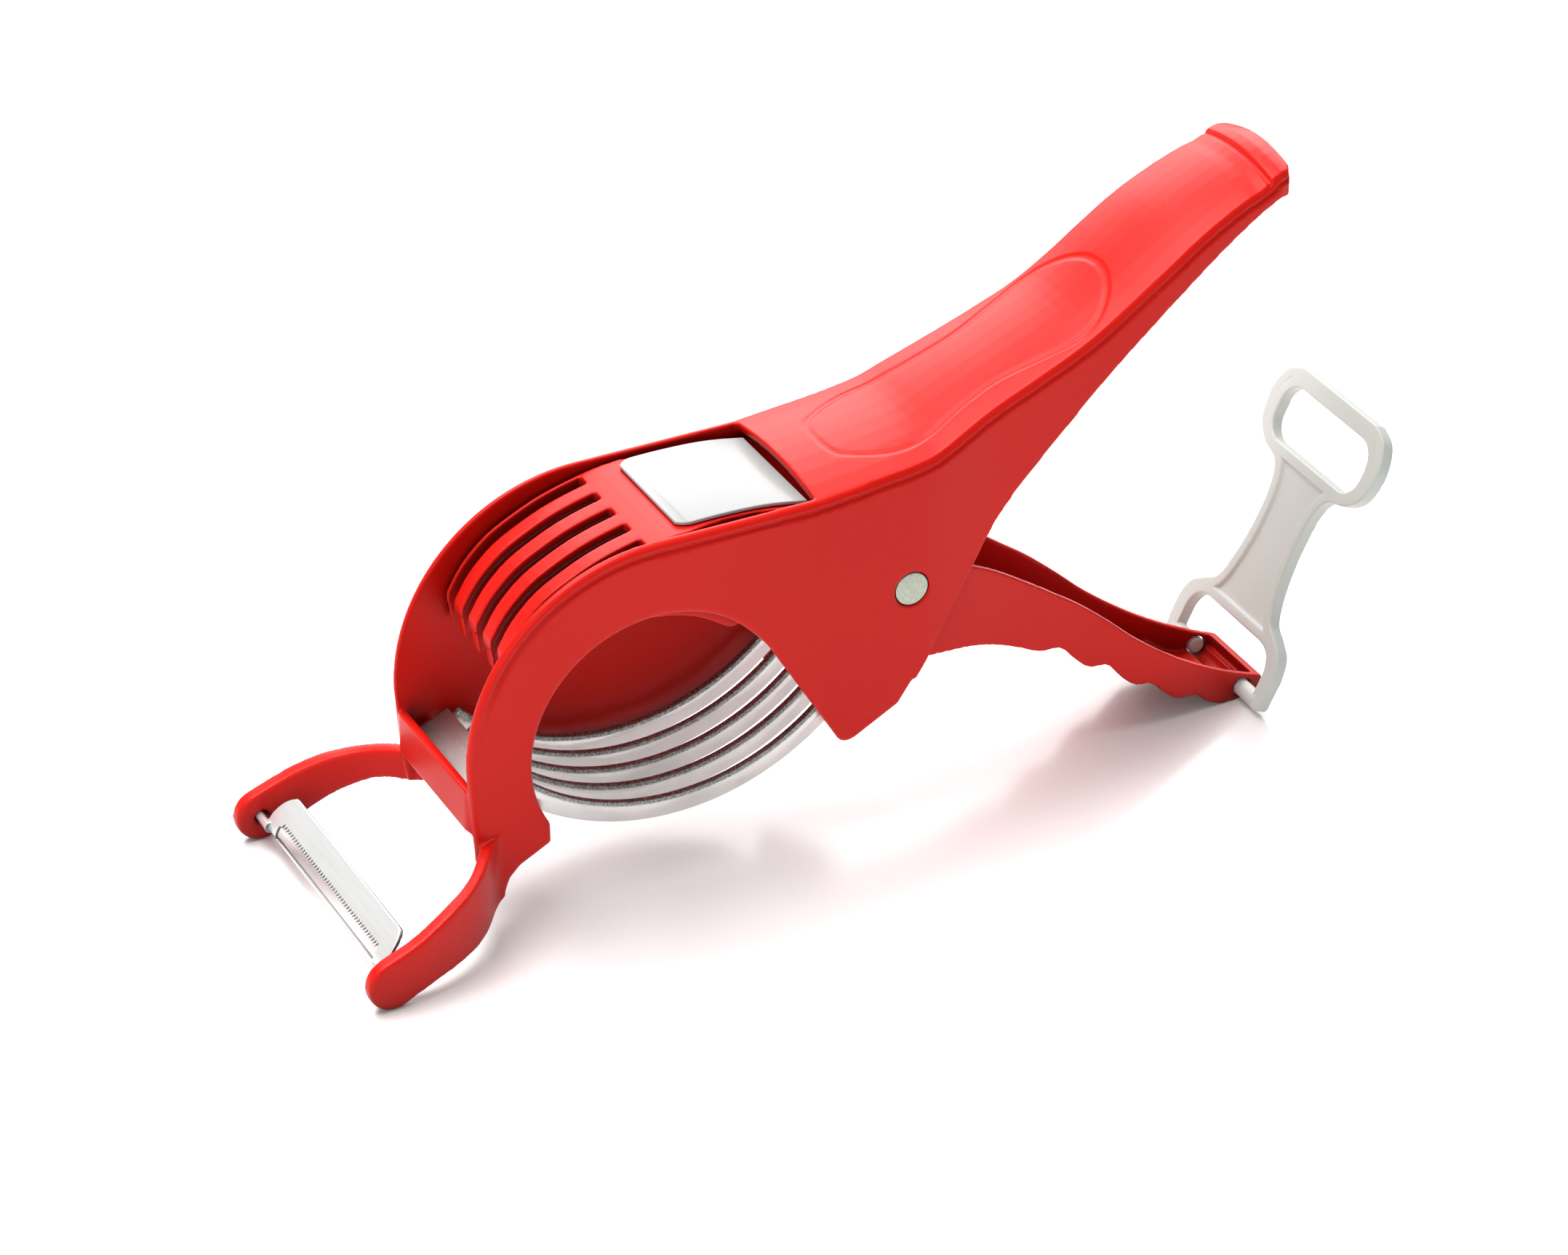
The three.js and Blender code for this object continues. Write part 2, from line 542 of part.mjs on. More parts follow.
// A sheet bent round the swivel's axis, with a long slot between its cutting edges and a pin at each end.
function peelerBlade() {
  const axis = new THREE.Vector2(FORK_AXIS.x, FORK_AXIS.z);
  const middle = smooth(PEELER_SECTION, 12).map((p) => p.add(axis));
  const offset = (distance) =>
    middle.map((p, i) => {
      const before = middle[Math.max(i - 1, 0)];
      const after = middle[Math.min(i + 1, middle.length - 1)];
      const across = after.clone().sub(before).normalize();
      return new THREE.Vector2(p.x - across.y * distance, p.y + across.x * distance);
    });
  const section = new THREE.Shape([...offset(PEELER_T / 2), ...offset(-PEELER_T / 2).reverse()]);
  const sheet = plate(section, -PEELER_HALF, PEELER_HALF);
  const corner = 4.5;
  const low = FORK_AXIS.z - 4;
  const high = FORK_AXIS.z + 6.6;
  const face = new THREE.Shape();
  face.moveTo(-PEELER_HALF, low);
  face.lineTo(PEELER_HALF, low);
  face.absarc(PEELER_HALF - corner, high - corner, corner, 0, Math.PI / 2, false);
  face.absarc(-PEELER_HALF + corner, high - corner, corner, Math.PI / 2, Math.PI, false);
  const front = new THREE.ExtrudeGeometry(face, { depth: 20, bevelEnabled: false, curveSegments: 6 });
  front.rotateX(Math.PI / 2);
  front.rotateZ(Math.PI / 2);
  front.translate(FORK_AXIS.x - 10, 0, 0);
  const slot = box(
    FORK_AXIS.x - 2, FORK_AXIS.x + 1.15, -PEELER_SLOT_HALF, PEELER_SLOT_HALF, FORK_AXIS.z - 0.9, FORK_AXIS.z + 2.1,
  );
  const pins = [-1, 1].map((side) => {
    const pin = bar(FORK_AXIS.x, FORK_AXIS.z, PEELER_PIN_R, PEELER_HALF - 1.4, PEELER_PIN_END, 16);
    return side === 1 ? pin : pin.mirror([0, 1, 0]);
  });
  return union([sheet.intersect(solid(front)).subtract(slot), ...pins]);
}

// ---------------------------------------------------------------- lock clip
const CLIP_LEG_IN = 16.2;
const CLIP_LEG_OUT = 19.7;
const CLIP_TOP = 65.5;

function roundedHole(half, s0, s1, corner) {
  const hole = new THREE.Path();
  hole.absarc(half - corner, s1 - corner, corner, 0, Math.PI / 2, false);
  hole.absarc(-half + corner, s1 - corner, corner, Math.PI / 2, Math.PI, false);
  hole.absarc(-half + corner, s0 + corner, corner, Math.PI, Math.PI * 1.5, false);
  hole.absarc(half - corner, s0 + corner, corner, -Math.PI / 2, 0, false);
  return hole;
}

// The clip is drawn flat, with its stubs on the line of zero height, then leaned back.
function lockClip() {
  const outline = new THREE.Shape();
  const middle = (CLIP_LEG_IN + CLIP_LEG_OUT) / 2;
  const legR = (CLIP_LEG_OUT - CLIP_LEG_IN) / 2;
  const right = [
    [19.9, 6.5], [18.4, 11.2], [14.6, 14], [11, 16.4], [9, 22.4], [7.9, 30.8], [8.3, 40], [10.6, 45],
    [16, 46.8],
    [20, 50], [21.4, 54.5], [21.3, 59], [19, 63.4], [14.5, CLIP_TOP],
  ];
  outline.moveTo(CLIP_LEG_OUT, 0);
  outline.splineThru(vectors(right));
  outline.lineTo(-right[right.length - 1][0], CLIP_TOP);
  outline.splineThru(vectors(right.slice(0, -1).reverse().map(([w, s]) => [-w, s])));
  outline.lineTo(-CLIP_LEG_OUT, 0);
  outline.absarc(-middle, 0, legR, Math.PI, 2 * Math.PI, false);
  outline.lineTo(-CLIP_LEG_IN, 6);
  outline.quadraticCurveTo(-15.6, 11, -10.5, 11.2);
  outline.lineTo(10.5, 11.2);
  outline.quadraticCurveTo(15.6, 11, CLIP_LEG_IN, 6);
  outline.lineTo(CLIP_LEG_IN, 0);
  outline.absarc(middle, 0, legR, Math.PI, 2 * Math.PI, false);
  outline.holes.push(roundedHole(17, 48.8, 61.3, 5));
  const flat = new THREE.ExtrudeGeometry(outline, { depth: CLIP_T, bevelEnabled: false, curveSegments: 6 });
  flat.translate(0, 0, -CLIP_T / 2);
  flat.rotateX(CLIP_LEAN);
  flat.rotateZ(Math.PI / 2);
  flat.scale(-1, 1, 1);
  const position = flat.attributes.position;
  const index = Array.from({ length: position.count }, (_, i) => i);
  for (let i = 0; i < index.length; i += 3) index.splice(i, 3, i, i + 2, i + 1);
  flat.setIndex(index);
  flat.translate(CLIP_AXIS.x, 0, CLIP_AXIS.z);
  const stubs = [-1, 1].map((side) => {
    const stub = bar(CLIP_AXIS.x, CLIP_AXIS.z, STUB_R, 8.6, CLIP_LEG_IN + 1, 20);
    return side === 1 ? stub : stub.mirror([0, 1, 0]);
  });
  return union([solid(flat), ...stubs]);
}

// ---------------------------------------------------------------- assembly
const cutter = new THREE.Group();
cutter.position.set(PIVOT_X, 0, PIVOT_Z);
cutter.add(piece("main_body", mainBody(), plastic(RED)));
cutter.add(piece("presser_lever", presserLever(), plastic(RED)));
cutter.add(piece("cover_plate", coverPlate(), plastic(WHITE)));
cutter.add(piece("pivot_pin", pivotPin(), steel(STEEL)));
cutter.add(piece("pivot_washer", pivotWasher(), steel(STEEL)));
cutter.add(piece("return_spring", returnSpring(), steel(STEEL)));
for (let i = 0; i < BLADE_COUNT; i++) {
  cutter.add(piece(`blade_${i + 1}`, blade((i - (BLADE_COUNT - 1) / 2) * BLADE_PITCH), steel(STEEL)));
}
for (let i = 0; i < BLADE_COUNT - 1; i++) {
  const y = (i + 1 - BLADE_COUNT / 2) * BLADE_PITCH;
  cutter.add(piece(`blade_spacer_${i + 1}`, bladeSpacer(y), steel(STEEL)));
}
cutter.add(piece("blade_rod", bar(rodAt.x, rodAt.y, ROD_R, -18, 18, 20), steel(STEEL)));
cutter.add(piece("blade_nose_strip", bladeStrip(), steel(STEEL)));
cutter.add(piece("peeler_blade", peelerBlade(), steel(STEEL)));
cutter.add(piece("lock_clip", lockClip(), plastic(OFF_WHITE)));

export default cutter;
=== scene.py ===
"""Looks of the five-blade vegetable cutter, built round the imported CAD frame. Metres."""

import json
import math

import bmesh
import bpy
import numpy as np
from mathutils import Matrix, Vector
from mathutils.kdtree import KDTree


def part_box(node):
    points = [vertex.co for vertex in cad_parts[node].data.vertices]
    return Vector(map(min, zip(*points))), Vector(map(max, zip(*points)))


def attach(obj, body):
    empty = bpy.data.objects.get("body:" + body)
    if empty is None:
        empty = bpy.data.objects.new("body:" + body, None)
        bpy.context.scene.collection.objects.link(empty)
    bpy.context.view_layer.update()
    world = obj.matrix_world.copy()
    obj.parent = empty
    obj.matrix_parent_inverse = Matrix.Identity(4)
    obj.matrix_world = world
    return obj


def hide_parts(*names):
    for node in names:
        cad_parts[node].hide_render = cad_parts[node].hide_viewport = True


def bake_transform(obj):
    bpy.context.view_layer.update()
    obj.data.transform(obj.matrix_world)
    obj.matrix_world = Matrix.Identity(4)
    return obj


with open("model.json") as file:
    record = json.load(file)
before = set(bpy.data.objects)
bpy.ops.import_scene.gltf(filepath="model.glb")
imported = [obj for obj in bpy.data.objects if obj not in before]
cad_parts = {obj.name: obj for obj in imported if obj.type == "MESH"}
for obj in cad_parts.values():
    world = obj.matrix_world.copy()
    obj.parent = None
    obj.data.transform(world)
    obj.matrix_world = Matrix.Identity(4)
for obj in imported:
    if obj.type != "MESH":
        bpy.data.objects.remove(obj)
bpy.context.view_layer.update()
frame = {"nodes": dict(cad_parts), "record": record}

MM = 0.001


def joint_at(name):
    return Vector(next(j["pos_m"] for j in frame["record"]["behaviour"]["joints"] if j["name"] == name))


PIVOT = joint_at("lever_hinge")
SWIVEL = joint_at("peeler_swivel")
CLIP_HINGE = joint_at("clip_swing")

SHADE_REACH = 24 * MM  # how far a slot or hollow looks for open air, for the painted shade in hollows
PEELER_FACE = (-0.68, 0, 0.73)  # way the peeler's wide face looks; faces turned from it get painted shade
BLADE_ARC = PIVOT + Vector((-51.9, 0, 11.6)) * MM  # centre of the blades' curve
BLADE_INNER_R = 48.8  # millimetres
BLADE_COUNT = 5


def link(obj):
    bpy.context.scene.collection.objects.link(obj)
    return obj


# ---------------------------------------------------------------- materials
class Nodes:
    """A material with a Principled shader, and short ways to add nodes to it."""

    def __init__(self, name):
        self.material = bpy.data.materials.new(name)
        self.material.use_nodes = True
        self.tree = self.material.node_tree
        self.shader = self.tree.nodes["Principled BSDF"]

    def add(self, kind, inputs=None, **settings):
        node = self.tree.nodes.new(kind)
        for key, value in settings.items():
            setattr(node, key, value)
        for key, value in (inputs or {}).items():
            if isinstance(value, bpy.types.NodeSocket):
                self.tree.links.new(value, node.inputs[key])
            else:
                node.inputs[key].default_value = value
        return node

    def set(self, **values):
        for key, value in values.items():
            socket = self.shader.inputs[key.replace("_", " ")]
            if isinstance(value, bpy.types.NodeSocket):
                self.tree.links.new(value, socket)
            else:
                socket.default_value = value

    def place(self):
        return self.add("ShaderNodeTexCoord").outputs["Object"]

    def noise(self, scale, detail=3.0, vector=None, rough=0.5):
        inputs = {"Scale": scale, "Detail": detail, "Roughness": rough, "Vector": vector or self.place()}
        return self.add("ShaderNodeTexNoise", inputs).outputs["Fac"]

    def ramp(self, fac, stops):
        node = self.add("ShaderNodeValToRGB", {"Fac": fac})
        points = node.color_ramp.elements
        while len(points) < len(stops):
            points.new(0.5)
        for point, (at, colour) in zip(points, stops):
            point.position = at
            point.color = (*colour, 1)
        return node.outputs["Color"]

    def spread(self, fac, low, high, start=0.0, end=1.0):
        inputs = {"Value": fac, "From Min": start, "From Max": end, "To Min": low, "To Max": high}
        return self.add("ShaderNodeMapRange", inputs).outputs["Result"]

    def mix(self, fac, first, second):
        node = self.add("ShaderNodeMix", {"Factor": fac}, data_type="RGBA")
        colour_a, colour_b = node.inputs[6], node.inputs[7]  # the colour pair among its inputs
        self.tree.links.new(first, colour_a)
        self.tree.links.new(second, colour_b)
        return node.outputs[2]

    def vector_math(self, operation, output, *values):
        node = self.add("ShaderNodeVectorMath", dict(enumerate(values)), operation=operation)
        return node.outputs[output]

    def bump(self, height, strength, distance):
        inputs = {"Height": height, "Strength": strength, "Distance": distance}
        return self.add("ShaderNodeBump", inputs).outputs["Normal"]

    def facing_up(self):
        normal = self.add("ShaderNodeNewGeometry").outputs["Normal"]
        return self.add("ShaderNodeSeparateXYZ", {"Vector": normal}).outputs["Z"]


def moulded_plastic(name, dark, light, gloss, specular, painted_shade=None):
    """Injection-moulded plastic: slow colour drift, faint flow in the gloss and a very fine skin.

    Given a painted shade colour, the plastic is darkened to it in slots and hollows, as painted shade where
    little light gets in.
    """
    m = Nodes(name)
    colour = m.ramp(m.noise(18, 2), [(0.3, dark), (0.7, light)])
    if painted_shade:
        # painted shade: where the ambient occlusion finds little open air, the colour goes to the shade
        # colour
        open_air = m.add("ShaderNodeAmbientOcclusion", {"Distance": SHADE_REACH}, samples=8).outputs["AO"]
        hollow_shade = m.ramp(m.noise(40, 2), [(0.3, painted_shade), (0.7, tuple(1.15 * c for c in painted_shade))])
        colour = m.mix(m.spread(open_air, 0.0, 1.0, 0.25, 0.85), hollow_shade, colour)
    m.set(
        Base_Color=colour,
        Roughness=m.spread(m.noise(60, 3), gloss, gloss + 0.06),
        Normal=m.bump(m.noise(2600, 2), 0.02, 0.0001),
        Specular_IOR_Level=specular,
    )
    return m


def brushed_steel(name, dark, light, stretch, rough=0.24):
    """Ground steel: fine lines along the grinding direction, with cloudy smears in the gloss."""
    m = Nodes(name)
    lines_at = m.add("ShaderNodeMapping", {"Vector": m.place(), "Scale": stretch}).outputs["Vector"]
    lines = m.noise(1400, 3, lines_at)
    m.set(
        Base_Color=m.ramp(lines, [(0.3, dark), (0.7, light)]),
        Metallic=1.0,
        Roughness=m.spread(m.noise(60, 3), rough, rough + 0.14),
        Normal=m.bump(lines, 0.1, 0.0001),
    )
    return m.material


def blade_steel():
    """Stamped strip: smooth cloudy flanks, with a coarse sparkling grind along the inner, upper edge."""
    m = Nodes("blade_steel")
    lines_at = m.add("ShaderNodeMapping", {"Vector": m.place(), "Scale": (0.1, 1, 0.1)}).outputs["Vector"]
    flank = m.ramp(m.noise(900, 3, lines_at), [(0.3, (0.68, 0.68, 0.67)), (0.7, (0.80, 0.80, 0.79))])
    grit = m.noise(2300, 4, rough=0.7)
    edge = m.ramp(grit, [(0.36, (0.14, 0.16, 0.15)), (0.5, (0.30, 0.32, 0.31)), (0.66, (0.62, 0.65, 0.63))])
    from_arc = m.vector_math("SUBTRACT", "Vector", m.place(), BLADE_ARC)
    flat = m.vector_math("MULTIPLY", "Vector", from_arc, (1, 0, 1))
    radius = m.vector_math("LENGTH", "Value", flat)
    ground = m.spread(radius, 1.0, 0.0, (BLADE_INNER_R + 0.7) * MM, (BLADE_INNER_R + 1.1) * MM)
    upward = m.spread(m.facing_up(), 0.0, 1.0, 0.25, 0.5)
    rough = m.add("ShaderNodeMath", {0: ground, 1: upward}, operation="MAXIMUM").outputs["Value"]
    m.set(
        Base_Color=m.mix(rough, flank, edge),
        Metallic=1.0,
        Roughness=m.spread(rough, 0.27, 0.5),
        Normal=m.bump(grit, 0.25, 0.0001),
    )
    return m.material


def peeler_steel():
    """Polished strip: its wide face bright, its cut edges and teeth a darker steel, painted shade where they
    turn from the wide face.
    """
    m = Nodes("peeler_steel")
    lines_at = m.add("ShaderNodeMapping", {"Vector": m.place(), "Scale": (1, 0.05, 1)}).outputs["Vector"]
    lines = m.noise(1400, 3, lines_at)
    normal = m.add("ShaderNodeTexCoord").outputs["Normal"]
    turned = m.vector_math("DOT_PRODUCT", "Value", normal, PEELER_FACE)
    face = m.spread(turned, 0.0, 1.0, 0.55, 0.92)
    bright = m.ramp(lines, [(0.3, (0.90, 0.90, 0.89)), (0.7, (0.98, 0.98, 0.97))])
    # painted shade: cut edges and teeth, turned from the wide face, get a dark steel colour
    painted_edge_shade = m.ramp(lines, [(0.3, (0.14, 0.15, 0.15)), (0.7, (0.26, 0.27, 0.27))])
    m.set(
        Base_Color=m.mix(face, painted_edge_shade, bright),
        Metallic=m.spread(face, 1.0, 0.6),
        Roughness=m.spread(m.noise(60, 3), 0.26, 0.36),
        Normal=m.bump(lines, 0.1, 0.0001),
    )
    return m.material


# the red gets painted shade in its slots and hollows
RED = moulded_plastic(
    "red_plastic", (0.62, 0.006, 0.002), (0.68, 0.009, 0.004), 0.32, 0.2, painted_shade=(0.16, 0.002, 0.001)
).material
WHITE = moulded_plastic("white_plastic", (0.40, 0.405, 0.40), (0.425, 0.43, 0.425), 0.25, 0.2).material
CLIP = moulded_plastic("clip_plastic", (0.53, 0.57, 0.53), (0.61, 0.64, 0.60), 0.35, 0.4).material
BLADE = blade_steel()
# grey steel with a pinkish tint that is painted reflection of the red body
STRIP_RED_REFLECTION = brushed_steel("strip_steel_red_reflection", (0.46, 0.42, 0.40), (0.52, 0.48, 0.46), (1, 0.1, 1), 0.34)
PEELER = peeler_steel()
PIN = brushed_steel("pin_steel", (0.42, 0.46, 0.37), (0.54, 0.58, 0.49), (1, 1, 1), 0.4)
WIRE = brushed_steel("spring_steel", (0.35, 0.35, 0.35), (0.55, 0.55, 0.55), (1, 0.1, 1), 0.25)


# ---------------------------------------------------------------- shape helpers
def baked(piece):
    """Apply the piece's modifiers to its mesh."""
    graph = bpy.context.evaluated_depsgraph_get()
    graph.update()
    mesh = bpy.data.meshes.new_from_object(piece.evaluated_get(graph))
    piece.modifiers.clear()
    piece.data = mesh
    return mesh


def finish_piece(piece, body, material, slot, *nodes):
    piece.data.materials.clear()
    piece.data.materials.append(material)
    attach(piece, body)
    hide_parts(*nodes)
    return piece


def copy_of(node, name):
    return link(bpy.data.objects.new(name, frame["nodes"][node].data.copy()))


def smoothstep(value, low, high):
    t = np.clip((value - low) / (high - low), 0, 1)
    return t * t * (3 - 2 * t)


def closed_curve(points, steps=24):
    """Dense points on a smooth closed curve through a few points (Catmull-Rom)."""
    p = np.array(points, float)
    before, after, beyond = np.roll(p, 1, 0), np.roll(p, -1, 0), np.roll(p, -2, 0)
    t = np.linspace(0, 1, steps, endpoint=False)[:, None, None]
    curve = 0.5 * (
        2 * p + (after - before) * t + (2 * before - 5 * p + 4 * after - beyond) * t**2
        + (3 * p - before - 3 * after + beyond) * t**3
    )
    return curve.transpose(1, 0, 2).reshape(-1, 2)


def nearest(points, targets):
    """Distance from each point to the closest target, in plan or in space."""
    tree = KDTree(len(targets))
    for i, target in enumerate(targets):
        tree.insert((*target, 0)[:3], i)
    tree.balance()
    return np.array([tree.find((*point, 0)[:3])[2] for point in points])


def round_arms(piece, iterations):
    """Round the fork's arms more than the rest of the body."""
    beside = np.array([abs(vertex.co.y) for vertex in piece.data.vertices]) / MM
    weight = np.round(5 * smoothstep(beside, *ARM_ZONE)) / 5
    group = piece.vertex_groups.new(name="arms")
    for level in np.unique(weight[weight > 0]):
        group.add(np.flatnonzero(weight == level).tolist(), float(level), "REPLACE")
    rounding = piece.modifiers.new("arms", "SMOOTH")
    rounding.factor = 0.5
    rounding.iterations = iterations
    rounding.vertex_group = group.name


def soften(node, name, voxel, smooth, carve=None, keep=0.4, lean=0.0, cutter=None, arms=0):
    """The CAD solid as a moulding with rounded edges, carved with its surface detail.

    A piece that leans is turned square to the voxels while it is rounded.
    """
    piece = copy_of(node, name)
    square = Matrix.Rotation(lean, 4, "Y")
    piece.data.transform(square)
    if cutter:
        notch = piece.modifiers.new("notch", "BOOLEAN")
        notch.operation = "DIFFERENCE"
        notch.solver = "EXACT"
        notch.object = cutter
    remesh = piece.modifiers.new("even", "REMESH")
    remesh.mode = "VOXEL"
    remesh.voxel_size = voxel * MM
    rounding = piece.modifiers.new("round", "SMOOTH")
    rounding.factor = 0.5
    rounding.iterations = smooth
    mesh = baked(piece)
    mesh.transform(square.inverted())
    if carve:
        count = len(mesh.vertices)
        at, normal = np.empty(count * 3), np.empty(count * 3)
        mesh.vertices.foreach_get("co", at)
        mesh.vertex_normals.foreach_get("vector", normal)
        at, normal = at.reshape(-1, 3), normal.reshape(-1, 3)
        mesh.vertices.foreach_set("co", carve(at, normal).ravel())
        mesh.update()
    if arms:
        round_arms(piece, arms)
    piece.modifiers.new("fewer", "DECIMATE").ratio = keep
    baked(piece).shade_smooth()
    return piece


def bevelled(node, name, width, segments=2):
    """The CAD solid with its sharp edges broken by a small round."""
    piece = copy_of(node, name)
    work = bmesh.new()
    work.from_mesh(piece.data)
    bmesh.ops.remove_doubles(work, verts=work.verts, dist=0.002 * MM)
    bmesh.ops.dissolve_limit(work, angle_limit=math.radians(0.6), verts=work.verts, edges=work.edges)
    work.to_mesh(piece.data)
    work.free()
    bevel = piece.modifiers.new("edges", "BEVEL")
    bevel.width = width * MM
    bevel.segments = segments
    bevel.limit_method = "ANGLE"
    bevel.angle_limit = math.radians(35)
    baked(piece).shade_smooth()
    piece.data.set_sharp_from_angle(angle=math.radians(50))
    return piece


# ---------------------------------------------------------------- red mouldings
# All in millimetres; ahead of, out from and above the pivot.
# Half the grip outline on the handle's top: (ahead, out from the middle).
GRIP_HALF = [
    (-11.6, 5.6), (-7, 10), (0, 12.8), (7.5, 12.5), (15, 11), (24, 10.4), (34, 12.2), (42, 13.4), (48, 10.6),
]
GRIP_ENDS = [(51.8, 4), (51.8, -4)]
GRIP_WIDTH = 0.65
GRIP_DEPTH = 0.2
GRIP_ABOVE = 27
GRIP_BEFORE = 55
LIP_AHEAD = 84.7  # line across the top at the handle's end
LIP_DEPTH = 0.3
RING_MIDDLE = (-57.3, 0, -16.5)  # centre of the nose's round
RING_RADIUS = 42
RING_BAND = 4  # the nose's rim lies in this band inside the radius
RING_AHEAD = -27.3  # the rim follows the round up to here, and the top behind it
FORK_END = -99
TOP_FROM = 22
CHEEK_CREST = 11  # the rims and flanks of the cheeks lie farther out than these
CHEEK_FLANK = 12
SEAM_DOWN = 2.4
SEAM_DEPTH = 0.5
SEAM_FADE = (-14, 4)  # the seam fades out down the nose between these heights
ARM_ZONE = (19.6, 23)  # the fork's arms leave the cheeks between these distances from the middle


def carve_grip(at, normal):
    """Press the shallow grip outline and the line at the end lip into the handle's top."""
    mirrored = [(x, -y) for x, y in reversed(GRIP_HALF)]
    outline = closed_curve([*GRIP_HALF, *GRIP_ENDS, *mirrored]) * MM
    plan = at[:, :2] - np.array(PIVOT[:2])
    height = at[:, 2] - PIVOT.z
    top = (normal[:, 2] > 0.45) & (height > GRIP_ABOVE * MM) & (plan[:, 0] < GRIP_BEFORE * MM)
    chosen = np.flatnonzero(top)
    away = nearest(plan[chosen], outline) / MM
    depth = GRIP_DEPTH * (1 - smoothstep(away, GRIP_WIDTH - 0.35, GRIP_WIDTH + 0.35)) * MM
    at[chosen] -= normal[chosen] * depth[:, None]
    lip = np.flatnonzero((normal[:, 2] > 0.4) & (plan[:, 0] > (LIP_AHEAD - 2) * MM))
    away = np.abs(plan[lip, 0] / MM - LIP_AHEAD)
    at[lip] -= normal[lip] * (LIP_DEPTH * (1 - smoothstep(away, 0.15, 0.55)) * MM)[:, None]
    return at


def carve_body(at, normal):
    """Press the seam under the upper rims into both flanks, and the grip outline into the top."""
    flank_side = np.sign(at[:, 1]) * normal[:, 1]
    ahead = (at[:, 0] - PIVOT.x) / MM
    from_ring = (at - np.array(PIVOT)) / MM - np.array(RING_MIDDLE)
    from_ring[:, 1] = 0
    outwards = np.einsum("ij,ij->i", from_ring, normal) / np.maximum(np.linalg.norm(from_ring, axis=1), 1)
    radius = np.linalg.norm(from_ring, axis=1)
    on_ring = (outwards > 0.6) & (radius > RING_RADIUS - RING_BAND)
    on_top = (normal[:, 2] > 0.5) & (at[:, 2] > PIVOT.z + TOP_FROM * MM)
    upper = np.where(ahead < RING_AHEAD, on_ring, on_top)
    beside = np.abs(at[:, 1])
    edge_on = np.abs(normal[:, 1]) < 0.3
    crest = at[edge_on & upper & (beside > CHEEK_CREST * MM) & (ahead > FORK_END)]
    flank = np.flatnonzero((flank_side > 0.8) & (ahead > FORK_END) & (beside > CHEEK_FLANK * MM))
    away = nearest(at[flank], crest) / MM
    depth = SEAM_DEPTH * (1 - smoothstep(np.abs(away - SEAM_DOWN), 0.2, 0.65)) * MM
    depth *= smoothstep((at[flank, 2] - PIVOT.z) / MM, *SEAM_FADE)
    at[flank] -= normal[flank] * depth[:, None]
    return carve_grip(at, normal)


clip_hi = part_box("lock_clip")[1]
clip_along = Vector((clip_hi[0] - CLIP_HINGE.x, 0, clip_hi[2] - CLIP_HINGE.z)).normalized()
CLIP_NORMAL = (-clip_along.z, 0, clip_along.x)
CLIP_RIM = 2.5
CLIP_PANEL_DEPTH = 0.75


def carve_clip(at, normal):
    """Sink a panel into both faces of the clip's web, leaving a raised rim along its edges."""
    flat = np.array(CLIP_NORMAL)
    across = np.abs(normal @ flat)
    face = np.flatnonzero(across > 0.9)
    edge = at[across < 0.35]
    away = nearest(at[face], edge) / MM
    depth = CLIP_PANEL_DEPTH * smoothstep(away, CLIP_RIM - 0.3, CLIP_RIM + 0.3) * MM
    at[face] -= normal[face] * depth[:, None]
    return at


body_piece = soften("main_body", "body_moulding", 0.31, 8, carve_body, arms=24)
finish_piece(body_piece, "body", RED, "red_plastic", "main_body")
lever_piece = soften("presser_lever", "lever_moulding", 0.28, 3)
finish_piece(lever_piece, "lever", RED, "red_plastic", "presser_lever")
clip_lean = math.atan2(clip_along.x, clip_along.z)
clip_piece = soften("lock_clip", "clip_moulding", 0.25, 9, carve_clip, lean=-clip_lean)
finish_piece(clip_piece, "clip", CLIP, "clip_plastic", "lock_clip")

finish_piece(bevelled("cover_plate", "cover_card", 0.25, 3), "lever", WHITE, "white_plastic", "cover_plate")
finish_piece(bevelled("pivot_pin", "pin_turned", 0.3, 3), "body", PIN, "pin_steel", "pivot_pin")
nose_strip = bevelled("blade_nose_strip", "strip_pressed", 0.15)
finish_piece(nose_strip, "body", STRIP_RED_REFLECTION, "blade_steel", "blade_nose_strip")

for number in range(1, BLADE_COUNT + 1):
    ground = bevelled(f"blade_{number}", f"blade_ground_{number}", 0.22)
    finish_piece(ground, "body", BLADE, "blade_steel", f"blade_{number}")

# ---------------------------------------------------------------- peeler blade with its teeth
TOOTH_PITCH = 1.05
TOOTH_DEPTH = 1.0
SLOT_TOP = 2.1  # upper edge of the slot above the swivel's axis
SLOT_HALF = 25
CUTTER_FROM, CUTTER_TO = -1.5, 4.5  # the saw-edged bar's length through the blade
CUTTER_LOW = 0.6  # how far the bar's edge starts below the slot's
CUTTER_SINK = 0.05  # how far the roots of the teeth start below it


